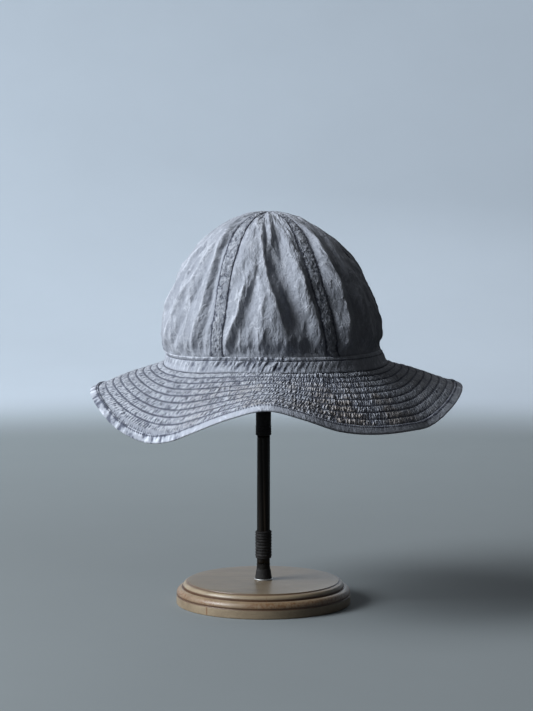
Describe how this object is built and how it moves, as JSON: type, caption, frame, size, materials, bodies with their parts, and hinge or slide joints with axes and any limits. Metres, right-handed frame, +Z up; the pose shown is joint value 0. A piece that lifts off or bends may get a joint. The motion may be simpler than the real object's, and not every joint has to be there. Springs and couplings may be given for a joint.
{
  "type": "soft brimmed sun hat on a display stand",
  "caption": "Soft panelled cotton sun hat with a wide stitched wavy brim and taped edge, hung on a slim post with a round turned wooden base.",
  "frame": {"origin": "centre of the underside of the stand's base", "axes": "+Z up, the hat's front towards -Y, its right-hand lobe towards +X"},
  "size_m": [0.3169, 0.3134, 0.3359],
  "materials": {
    "washed_cotton": "matt washed plain weave",
    "seam_cotton": "puckered felled seam",
    "quilted_cotton": "puckered between stitch rows",
    "binding_tape": "folded tape, one stitch row",
    "turned_wood": "satin, stained in the groove",
    "bright_washer": "bright",
    "black_wrap": "matt wrapped tape",
    "black_rod": "black satin"
  },
  "bodies": {
    "root": {"crown_panel_front": "washed_cotton", "crown_panel_front_left": "washed_cotton", "crown_panel_front_right": "washed_cotton", "crown_panel_back": "washed_cotton", "crown_panel_back_left": "washed_cotton", "crown_panel_back_right": "washed_cotton", "crown_seam_front_left": "seam_cotton", "crown_seam_front_right": "seam_cotton", "crown_seam_back_left": "seam_cotton", "crown_seam_back_right": "seam_cotton", "crown_seam_cross": "seam_cotton", "head_band": "washed_cotton", "brim": "quilted_cotton", "brim_binding": "binding_tape", "stand_base": "turned_wood", "foot_washer": "bright_washer", "post_foot": "black_wrap", "post_shaft": "black_rod", "post_collar": "black_wrap", "hat_rest": "black_wrap"}
  },
  "joints": []
}
